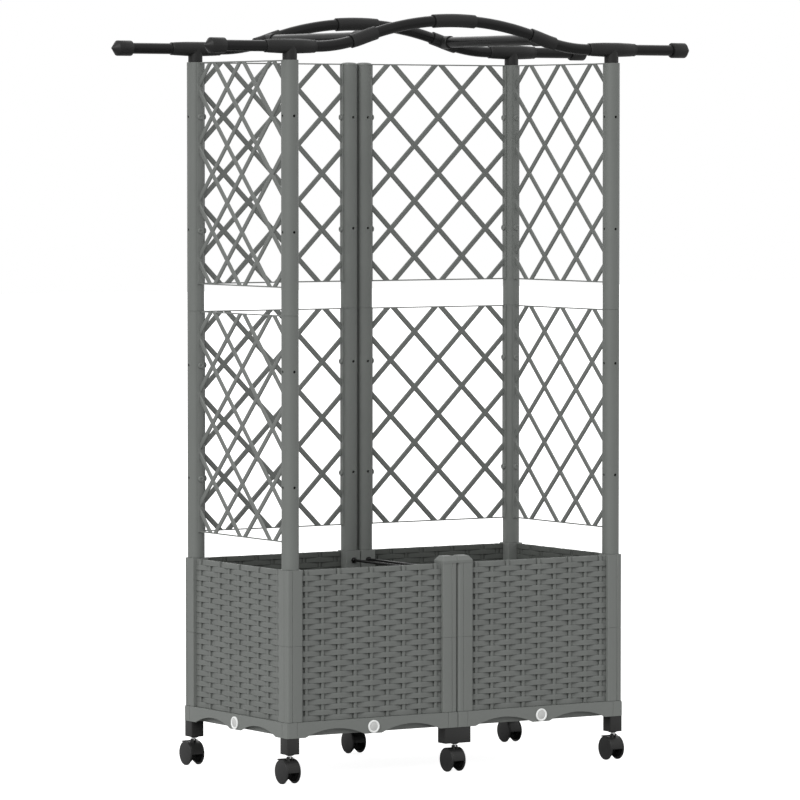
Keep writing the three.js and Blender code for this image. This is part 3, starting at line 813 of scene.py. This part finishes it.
plug_low, plug_high = node_box("drain_plug_front_left")
plug_above_foot = (plug_low.z + plug_high.z) / 2 - node_box("tray_left")[0].z

for side, end_turns in (("left", 3), ("right", 1)):
    node = f"tray_{side}"
    low, high = node_box(node)
    shell = tray((high.x - low.x) / 2, (high.y - low.y) / 2, high.z - low.z, end_turns)
    placed = Shell().join(shell, over(low, high, low.z))
    piece(f"fine_{node}", placed, "planter", ["grey"], [node], sharp=28)


def drain_plug(radius, shaft_end):
    """A plug along +Y with its flange's back at y = 0."""
    face = -PLUG_FLANGE
    rim = radius - PLUG_RIM
    shaft = PLUG_BORE - FIT
    web = rim - 1.2
    shell = Shell()
    shell.lathe([
        (0, face + 1.1), (rim - 1, face + 1.1), (rim - 0.3, face + 0.2), (rim + 0.4, face),
        (radius - 0.9, face), (radius - 0.2, face + 0.4), (radius, face + 1), (radius, -0.3),
        (radius - 0.4, 0),
        (shaft, 0), (shaft, shaft_end - 1), (shaft - 1, shaft_end), (0, shaft_end),
    ], axis="y", sides=56)
    shell.lathe([
        (0, face + 0.75), (web - 0.6, face + 0.75), (web, face + 1.0), (web, face + 1.4), (0, face + 1.4),
    ], axis="y", sides=48, tint=1)
    return shell


for name, turn in (("front_left", 0), ("front_right", 0), ("left", -90), ("right", 90)):
    node = f"drain_plug_{name}"
    low, high = node_box(node)
    middle = (low + high) / 2
    length = high.y - low.y if turn == 0 else high.x - low.x
    plug = drain_plug((high.z - low.z) / 2, length - PLUG_FLANGE)
    face = {
        0: (middle.x, low.y, middle.z),
        -90: (low.x, middle.y, middle.z),
        90: (high.x, middle.y, middle.z),
    }[turn]
    place = Matrix.Translation(face) @ Matrix.Rotation(math.radians(turn), 4, "Z")
    placed = Shell().join(plug, place @ Matrix.Translation((0, PLUG_FLANGE, 0)))
    piece(f"fine_{node}", placed, f"plug_{name}", ["pale", "pale centre"], [node])

# ---------------------------------------------------------------- tie rods, legs and casters

for side in ("left", "right"):
    node = f"tie_rod_{side}"
    low, high = node_box(node)
    reach = (high.y - low.y) / 2
    head = (high.z - low.z) / 2
    half = [
        (0, reach), (head - 0.5, reach), (head, reach - 0.5), (head, reach - 2.5),
        (TIE_ROD + 0.6, reach - 3), (TIE_ROD, reach - 3.6),
    ]
    shell = Shell().lathe(both_ends(half), (low + high) / 2, "y", 28)
    piece(f"fine_{node}", shell, "planter", ["tube"], [node])


def leg_block(node):
    """A block a little larger than its plain solid, but not beyond the tray's outer sides."""
    low, high = node_box(node)
    for axis in (0, 1):
        if low[axis] > 0:
            low[axis] -= LEG_SPARE
        elif high[axis] < 0:
            high[axis] += LEG_SPARE
        else:
            low[axis] -= LEG_SPARE / 2
            high[axis] += LEG_SPARE / 2
    low.z -= LEG_SPARE
    middle = (low + high) / 2
    half_x = (high.x - low.x) / 2
    half_y = (high.y - low.y) / 2
    foot = low.z + LEG_BOSS_HEIGHT
    outline = rounded_rectangle(half_x, half_y, LEG_ROUNDING, 4)
    levels = [(foot, 0.965), (foot + 0.6, 1), (high.z - 0.5, 1), (high.z, 0.98)]
    shell = Shell()
    shell.loft([[(middle.x + x * size, middle.y + y * size, z) for x, y in outline] for z, size in levels])
    bore = STEM + FIT
    shell.lathe([
        (bore, foot + 1), (LEG_BOSS + 1, foot + 1), (LEG_BOSS + 1, foot),
        (LEG_BOSS - 0.4, foot - LEG_BOSS_HEIGHT * 0.5), (LEG_BOSS - 3, foot - LEG_BOSS_HEIGHT + 0.2),
        (LEG_BOSS - 4, low.z), (bore, low.z),
    ], (middle.x, middle.y, 0), "z", 40)
    return shell


def sector(radius, start, stop, steps):
    """(y, z) points of a sector round the axle."""
    return arc((0, 0), radius, start, stop, steps) + [(0, 0)]


def caster_housing(braked):
    """The housing round its axle at the origin: hood, web between the wheels, and hub."""
    rear = HOOD_REAR_BRAKED if braked else HOOD_REAR
    web_half = WHEEL_GAP / 2 - FIT
    shell = Shell()
    side = HOOD_HALF - HOOD_EASE
    rings = []
    for x, shrink in ((-HOOD_HALF, HOOD_EASE), (-side, 0), (side, 0), (HOOD_HALF, HOOD_EASE)):
        outline = band(HOOD_INNER, HOOD_OUTER - shrink, rear, HOOD_FRONT, 40)
        rings.append([(x, y, z) for y, z in outline])
    shell.loft(rings)
    # The widths differ a little, so that the flat sides don't coincide
    shell.prism_x(sector(HOOD_INNER + 0.5, rear, HOOD_FRONT, 36), web_half)
    shell.prism_x(sector(WEB, 0, 180, 30), web_half - 0.05)
    shell.lathe(rod(HUB, -web_half + 0.02, web_half - 0.02), axis="x", sides=32)
    return shell


def collar():
    """Two cheeks that hold the stem, round X = Y = 0."""
    shell = Shell()
    levels = (
        (COLLAR_TOP - COLLAR_HEIGHT, COLLAR), (COLLAR_TOP - COLLAR_EASE, COLLAR),
        (COLLAR_TOP, COLLAR - COLLAR_EASE),
    )
    for middle in (0, 180):
        start = middle - 90 + COLLAR_SLOT
        stop = middle + 90 - COLLAR_SLOT
        shell.loft([[(x, y, z) for x, y in band(STEM + 0.15, size, start, stop, 12)] for z, size in levels])
    return shell


def wheels():
    """Two wheels and their axle, round the origin: each wheel a plate with a narrower drum inside it."""
    inner = HOOD_HALF + 0.4
    disc = wheel_radius - WHEEL_EASE
    shoulder = WHEEL_FACE - WHEEL_CROWN - WHEEL_EASE
    half = [(0, inner), (wheel_radius - 0.3, inner), (wheel_radius, inner + 0.3)]
    for step in range(7):
        turn = math.pi / 2 * step / 6
        half.append((disc + WHEEL_EASE * math.cos(turn), shoulder + WHEEL_EASE * math.sin(turn)))
    # The face is slightly domed, with a fine ring near its edge
    for share in (0.985, 0.96, 0.94, 0.8, 0.6, 0.4, 0.2, 0):
        dent = 0.3 if share == 0.96 else 0
        half.append((disc * share, WHEEL_FACE - WHEEL_CROWN * share * share - dent))
    near = WHEEL_GAP / 2
    far = inner + 0.2
    # The drums take the near-black painted shade, for the dark space under the hood
    drum = [(0, near), (DRUM - 0.5, near), (DRUM, near + 0.5), (DRUM, far), (0, far)]
    shell = Shell()
    for sign in (-1, 1):
        shell.lathe([(radius, sign * place) for radius, place in half], axis="x", sides=72)
        shell.lathe([(radius, sign * place) for radius, place in drum], axis="x", sides=56, tint=2)
    shell.lathe(rod(AXLE, -near - 1, near + 1), axis="x", sides=24, tint=1)
    return shell


def lever(pivot, axle):
    """Pad, tongue, barrel and pin of a brake lever, round the stem at x = y = 0."""
    half = LEVER_WIDTH / 2
    rings = []
    for step in range(LEVER_STEPS + 1):
        y = LEVER_START + (LEVER_REACH - LEVER_START) * step / LEVER_STEPS
        past = max(0, y - LEVER_REACH + LEVER_ROUNDING)
        reach = half
        if past:
            reach = half - LEVER_ROUNDING + math.sqrt(max(0, LEVER_ROUNDING ** 2 - past ** 2))
        over_wheel = axle.z + math.sqrt(wheel_radius ** 2 - (y - axle.y) ** 2)
        low = over_wheel + LEVER_LIFT + LEVER_TIP * max(0, y - pivot.y)
        high = low + LEVER_THICKNESS
        flat = reach - LEVER_EASE
        outline = [(-reach, low + LEVER_EASE), (-flat, low), (flat, low), (reach, low + LEVER_EASE)]
        outline += [(reach, high - LEVER_EASE), (flat, high), (-flat, high), (-reach, high - LEVER_EASE)]
        rings.append([(x, y, z) for x, z in outline])
    shell = Shell().loft(rings)
    tongue = LEVER_TONGUE / 2
    shell.block((-tongue, pivot.y - 2, pivot.z), (tongue, pivot.y + 4, 2 * wheel_radius + 0.6))
    pin = WHEEL_GAP / 2 - FIT
    spot = (0, pivot.y, pivot.z)
    shell.lathe(rod(LEVER_BARREL, -tongue, tongue), spot, "x", 20)
    shell.lathe(rod(LEVER_PIN, -pin, pin), spot, "x", 16)
    return shell


def add_caster(spot, braked):
    """The pieces of one caster and its leg block."""
    stem = joint_place(f"swivel_{spot}")
    axle = joint_place(f"roll_{spot}")
    at_stem = Matrix.Translation((stem.x, stem.y, 0))
    node = f"leg_block_{spot}"
    piece(f"fine_{node}", leg_block(node), "planter", ["black"], [node])

    node = f"caster_housing_{spot}"
    housing = Shell().join(caster_housing(braked), Matrix.Translation(axle))
    housing.join(collar(), at_stem)
    piece(f"fine_{node}", housing, f"caster_{spot}", ["black"], [node], sharp=28)
    pin = Shell().lathe(rod(STEM, STEM_START, STEM_TOP), (stem.x, stem.y, 0), "z", 32)
    piece(f"stem_{spot}", pin, f"caster_{spot}", ["steel"])

    node = f"caster_wheels_{spot}"
    rolling = Shell().join(wheels(), Matrix.Translation(axle))
    piece(f"fine_{node}", rolling, f"wheels_{spot}", ["wheel", "steel", "drum painted shade"], [node], sharp=28)
    if braked:
        node = f"brake_lever_{spot}"
        pivot = joint_place(f"brake_{spot}")
        pedal = lever(Vector((0, pivot.y - stem.y, pivot.z)), Vector((0, axle.y - stem.y, axle.z)))
        piece(f"fine_{node}", Shell().join(pedal, at_stem), f"brake_{spot}", ["black"], [node])


wheel_radius = joint_place("roll_front_left").z

for end in ("front", "back"):
    for side in ("left", "middle", "right"):
        add_caster(f"{end}_{side}", side != "middle")

# ---------------------------------------------------------------- posts

post_low, post_high = node_box("post_front_left")
POST = (post_high.x - post_low.x) / 2
post_foot = post_low.z + SPIGOT
post_seam = post_foot + LOWER_SECTION
post_top = post_seam + UPPER_SECTION


def post(capped):
    """A post with its axis at x = y = 0."""
    bore = POST - POST_WALL
    groove = POST - SEAM_DEPTH
    profile = [
        (POST - 0.3, post_foot), (POST, post_foot + 0.4), (POST, post_seam - SEAM),
        (groove, post_seam - SEAM / 3), (groove, post_seam + SEAM / 3), (POST, post_seam + SEAM),
    ]
    if not capped:
        profile += [(POST, post_top - 0.4), (POST - 0.4, post_top), (bore, post_top), (bore, post_foot)]
        return Shell().lathe(profile, sides=64)
    line = POST - POST_CAP_LINE
    profile += [
        (POST, post_top - 3.4), (line, post_top - 3.2), (line, post_top - 2.8), (POST, post_top - 2.6),
        (POST, post_top - 1), (POST - 0.4, post_top - 0.2), (POST - 1.6, post_top + 0.7),
        (POST * 0.7, post_top + 1.9), (POST * 0.4, post_top + 2.7), (0, post_top + POST_CAP),
    ]
    return Shell().lathe([(0, post_foot)] + profile, sides=64)


def drilled(shell):
    """The post with its cross holes cut, in one direction and then in the other."""
    reach = POST + 2
    for axis in ("x", "y"):
        holes = Shell()
        for top in (post_seam, post_top):
            for depth in HOLE_DEPTHS:
                holes.lathe(rod(HOLE, -reach, reach), (0, 0, top - depth), axis, 20)
        shell = combined(shell, holes, "DIFFERENCE")
    return shell


open_post = drilled(post(False))
capped_post = drilled(post(True))
for spot in ("front_left", "front_right", "back_left", "back_right", "middle_left", "middle_right"):
    node = f"post_{spot}"
    low, high = node_box(node)
    made = capped_post if "middle" in node else open_post
    piece(f"fine_{node}", Shell().join(made, over(low, high, 0)), "planter", ["grey tube"], [node])

# ---------------------------------------------------------------- trellis


def strip_ring(along, sign, tilt, x, z):
    """The eight-cornered section of a strip, at a distance along it from (x, 0, z)."""
    half = STRIP / 2
    face = half - STRIP_EASE
    thick = STRIP_THICKNESS / 2
    edge = thick - STRIP_DROP
    section = [(-half, edge), (-face, thick), (face, thick), (half, edge)]
    section += [(across, -out) for across, out in reversed(section)]
    way = Vector((math.cos(tilt), 0, sign * math.sin(tilt)))
    side = Vector((-sign * math.sin(tilt), 0, math.cos(tilt)))
    start = Vector((x, 0, z)) + way * along
    return [tuple(start + side * across + Vector((0, out, 0))) for across, out in section]


def lattice_family(half_length, sign):
    """All strips that rise (sign 1) or fall (sign -1) along X."""
    tilt = math.atan2(PITCH_UP, PITCH_ALONG)
    reach = math.ceil((half_length + TRELLIS_HEIGHT) / (2 * PITCH_ALONG))
    ends = (-TRELLIS_HEIGHT, TRELLIS_HEIGHT)
    shell = Shell()
    for index in range(-reach, reach + 1):
        x = 2 * index * PITCH_ALONG
        shell.loft([strip_ring(along, sign, tilt, x, -LATTICE_MIDDLE) for along in ends])
    return shell


def channel(post_x, sign):
    """The channel that hugs the post at sign * post_x, and its pegs."""
    inner = POST + FIT
    outer = inner + CHANNEL
    spread = math.degrees(math.asin(CHANNEL_WIDTH / 2 / outer))
    outline = arc((0, 0), inner, 180 - spread, 180 + spread, 8)
    outline += reversed(arc((0, 0), outer, 180 - spread, 180 + spread, 8))
    shell = Shell()
    shell.loft([[(sign * (post_x + x), y, z) for x, y in outline] for z in (-TRELLIS_HEIGHT, 0)])
    pegs = Shell()
    face = post_x - inner - CHANNEL / 2
    tip = face - CHANNEL / 2 - PEG_HEIGHT
    slope = tip + PEG_EASE
    half = [
        (0, face), (PEG, face), (PEG, slope), (PEG - PEG_EASE, tip),
        (PEG_DIMPLE, tip), (PEG_DIMPLE - 0.6, slope), (0, slope),
    ]
    for depth in PEG_DEPTHS:
        pegs.lathe([(radius, sign * place) for radius, place in half], (0, 0, -depth), "x", 28)
    return shell, pegs


def trellis(post_spacing):
    """A panel along X between two posts, its top at z = 0."""
    post_x = post_spacing / 2
    half_length = post_x - POST - FIT - CHANNEL / 2
    thick = STRIP_THICKNESS / 2
    slab_low = (-half_length, -thick - 1, -TRELLIS_HEIGHT + 0.2)
    slab = Shell().block(slab_low, (half_length, thick + 1, -0.2))
    lattice = combined(lattice_family(half_length, 1), lattice_family(half_length, -1), "UNION")
    lattice = combined(lattice, slab, "INTERSECT")
    rail = thick * RAIL_THINNING
    rails = Shell()
    for low in (-TRELLIS_HEIGHT, -RAIL):
        rails.block((-half_length, -rail, low), (half_length, rail, low + RAIL))
    panel = combined(lattice, rails, "UNION")
    for sign in (-1, 1):
        for shell in channel(post_x, sign):
            panel = combined(panel, shell, "UNION")
    return panel


front_post = node_box("post_front_left")[0]
back_post = node_box("post_back_left")[0]
middle_post = node_box("post_middle_left")[0]
side_panel = trellis(back_post.y - front_post.y)
back_panel = trellis(middle_post.x - back_post.x)
for level, top in (("lower", post_seam), ("upper", post_top)):
    for side in ("left", "right"):
        for kind, made, turn in (("back_", back_panel, 0), ("", side_panel, 90)):
            node = f"trellis_{kind}{side}_{level}"
            low, high = node_box(node)
            placed = Shell().join(made, over(low, high, top, turn))
            piece(f"fine_{node}", placed, "planter", ["grey"], [node], sharp=20)

# ---------------------------------------------------------------- top frame

knee_x = ARCH_RADIUS * math.sin(KNEE_SLOPE)
knee_rise = ARCH_APEX - ARCH_RADIUS * (1 - math.cos(KNEE_SLOPE))
end_radius = knee_rise / (1 - math.cos(KNEE_SLOPE))
arch_end = knee_x + end_radius * math.sin(KNEE_SLOPE)
frame_z = post_top + FRAME_RISE


def arch_rise(x):
    """Height of the arch's axis over its straight ends."""
    along = abs(x)
    if along < knee_x:
        return ARCH_APEX - ARCH_RADIUS + math.sqrt(ARCH_RADIUS ** 2 - along ** 2)
    if along > arch_end:
        return 0.0
    return end_radius - math.sqrt(end_radius ** 2 - (arch_end - along) ** 2)


def arch_tube(shell, radius, start, stop, steps, tint=0, sides=40):
    """A tube along the arch, from start to stop."""
    rings = []
    for step in range(steps + 1):
        x = start + (stop - start) * step / steps
        slope = arch_rise(x + 0.5) - arch_rise(x - 0.5)
        along = Vector((1, 0, slope)).normalized()
        up = Vector((-along.z, 0, along.x))
        middle = Vector((x, 0, arch_rise(x)))
        ring = []
        for side in range(sides):
            turn = 2 * math.pi * side / sides
            aside = Vector((0, radius * math.sin(turn), 0))
            ring.append(tuple(middle + up * (radius * math.cos(turn)) + aside))
        rings.append(ring)
    shell.loft(rings, tint=tint)


def arch_outer_end():
    """The tee, stub tube and end cap at the end of an arch, towards +X."""
    shell = Shell()
    reach = TEE_LENGTH / 2
    half_tee = [
        (0, reach), (TEE_LIP - 0.6, reach), (TEE_LIP, reach - 0.6), (TEE_LIP, reach - TEE_LIP_LENGTH),
        (TEE_LIP + 0.4, reach - TEE_LIP_LENGTH - 1), (TEE, TEE_SHOULDER),
    ]
    shell.lathe(both_ends(half_tee, post_x), axis="x", sides=48, tint=1)
    shell.lathe(sleeve(TEE_STEM, -FRAME_RISE - TEE_STEM_DEPTH, 2), (post_x, 0, 0), "z", 48, tint=1)
    start = post_x + OVERHANG
    shell.lathe(rod(TUBE, arch_end, start + 2), axis="x", sides=40)
    shoulder = start + END_CAP_CYLINDER
    tip = shoulder + END_CAP_CONE
    shell.lathe([
        (0, start), (END_CAP - 1, start), (END_CAP - 0.3, start + 0.3), (END_CAP, start + 1),
        (END_CAP, shoulder - 0.8), (END_CAP - 0.4, shoulder + 0.2), (END_CAP_TIP, tip - 0.9),
        (END_CAP_TIP * 0.5, tip - 0.15), (0, tip),
    ], axis="x", sides=48, tint=1)
    return shell


def arch():
    shell = Shell()
    arch_tube(shell, TUBE, -arch_end - 1, arch_end + 1, 96)
    arch_tube(shell, COUPLER, -COUPLER_LENGTH / 2, COUPLER_LENGTH / 2, 16, tint=1)
    for turn in (math.pi, 0):
        shell.join(arch_outer_end(), Matrix.Rotation(turn, 4, "Z"))
    return shell


post_low, post_high = node_box("post_front_right")
post_x = (post_low.x + post_high.x) / 2
arch_y = {}
for end in ("front", "back"):
    node = f"arch_{end}"
    low, high = node_box(node)
    arch_y[end] = (low.y + high.y) / 2
    placed = Shell().join(arch(), Matrix.Translation((0, arch_y[end], frame_z)))
    piece(f"fine_{node}", placed, "planter", ["tube", "fitting"], [node])

for side, sign in (("left", -1), ("right", 1)):
    node = f"crossbar_{side}"
    x = sign * knee_x
    spot = (x, 0, frame_z + arch_rise(knee_x))
    shell = Shell()
    shell.lathe(rod(TUBE, arch_y["front"], arch_y["back"]), spot, "y", 40)
    for y, way in ((arch_y["front"], 1), (arch_y["back"], -1)):
        grip = Shell()
        arch_tube(grip, COUPLER, x - KNEE_LENGTH / 2, x + KNEE_LENGTH / 2, 10, tint=1)
        shell.join(grip, Matrix.Translation((0, y, frame_z)))
        low, high = sorted((y, y + way * KNEE_BRANCH))
        shell.lathe(sleeve(COUPLER, low, high), spot, "y", 40, tint=1)
    piece(f"fine_{node}", shell, "planter", ["tube", "fitting"], [node])

# ---------------------------------------------------------------- floor, light and camera


def seen(tree):
    """One where the camera looks, and zero where the object is lit or a reflection shows."""
    return tree.nodes.new("ShaderNodeLightPath").outputs["Is Camera Ray"]


def seen_or_mirrored(tree):
    """One where the camera looks or a reflection shows, and zero where the object is lit."""
    path = tree.nodes.new("ShaderNodeLightPath")
    either = tree.nodes.new("ShaderNodeMath")
    either.operation = "MAXIMUM"
    tree.links.new(path.outputs["Is Camera Ray"], either.inputs[0])
    tree.links.new(path.outputs["Is Glossy Ray"], either.inputs[1])
    return either.outputs[0]


WORLD_LEVEL = 0.71  # on the object
FLOOR_TONE = 0.55
FLOOR_GLOW = 0.92  # for the camera alone
# Name, energy, angle in degrees, and the way towards the sun
SUNS = (
    ("key", 1.95, 35, (-0.73, -0.43, 0.55)),
    ("fill", 0.35, 60, (0.93, -0.2, 0.3)),
    ("back", 0.6, 60, (0.5, 0.8, 0.33)),
)

world = bpy.data.worlds.new("studio")
scene.world = world
world.use_nodes = True
tree = world.node_tree
background = tree.nodes["Background"]
background.inputs["Color"].default_value = (1, 1, 1, 1)
tree.links.new(ranged(tree, seen_or_mirrored(tree), WORLD_LEVEL, 1, 0, 1), background.inputs["Strength"])

corners = [(x * FLOOR_REACH, y * FLOOR_REACH, 0) for x, y in ((-1, -1), (1, -1), (1, 1), (-1, 1))]
floor = bpy.data.objects.new("floor", as_mesh(Shell().add(corners, [(0, 1, 2, 3)]), "floor"))
scene.collection.objects.link(floor)
floor_material = bpy.data.materials.new("pale floor")
floor_material.use_nodes = True
tree = floor_material.node_tree
shader = tree.nodes["Principled BSDF"]
shader.inputs["Base Color"].default_value = (FLOOR_TONE, FLOOR_TONE, FLOOR_TONE, 1)
shader.inputs["Roughness"].default_value = 1.0
shader.inputs["Specular IOR Level"].default_value = 0.0
shader.inputs["Emission Color"].default_value = (1, 1, 1, 1)
glow = ranged(tree, seen(tree), 0, FLOOR_GLOW, 0, 1)
tree.links.new(glow, shader.inputs["Emission Strength"])
floor.data.materials.append(floor_material)
floor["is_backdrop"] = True

for name, energy, angle, toward in SUNS:
    sun = bpy.data.lights.new(name, "SUN")
    sun.energy = energy
    sun.angle = math.radians(angle)
    lamp = bpy.data.objects.new(name, sun)
    lamp.rotation_mode = "QUATERNION"
    lamp.rotation_quaternion = Vector(toward).to_track_quat("Z", "Y")
    scene.collection.objects.link(lamp)

camera = bpy.data.cameras.new("camera")
camera.lens = CAMERA_LENS
camera.clip_end = 100
back = Vector((
    math.sin(CAMERA_AZIMUTH) * math.cos(CAMERA_ELEVATION),
    -math.cos(CAMERA_AZIMUTH) * math.cos(CAMERA_ELEVATION),
    math.sin(CAMERA_ELEVATION),
))
viewer = bpy.data.objects.new("camera", camera)
viewer.location = (CAMERA_AIM + back * CAMERA_DISTANCE) * MM
viewer.rotation_mode = "QUATERNION"
viewer.rotation_quaternion = back.to_track_quat("Z", "Y")
scene.collection.objects.link(viewer)
scene.camera = viewer
scene.view_settings.view_transform = "Standard"

low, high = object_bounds()
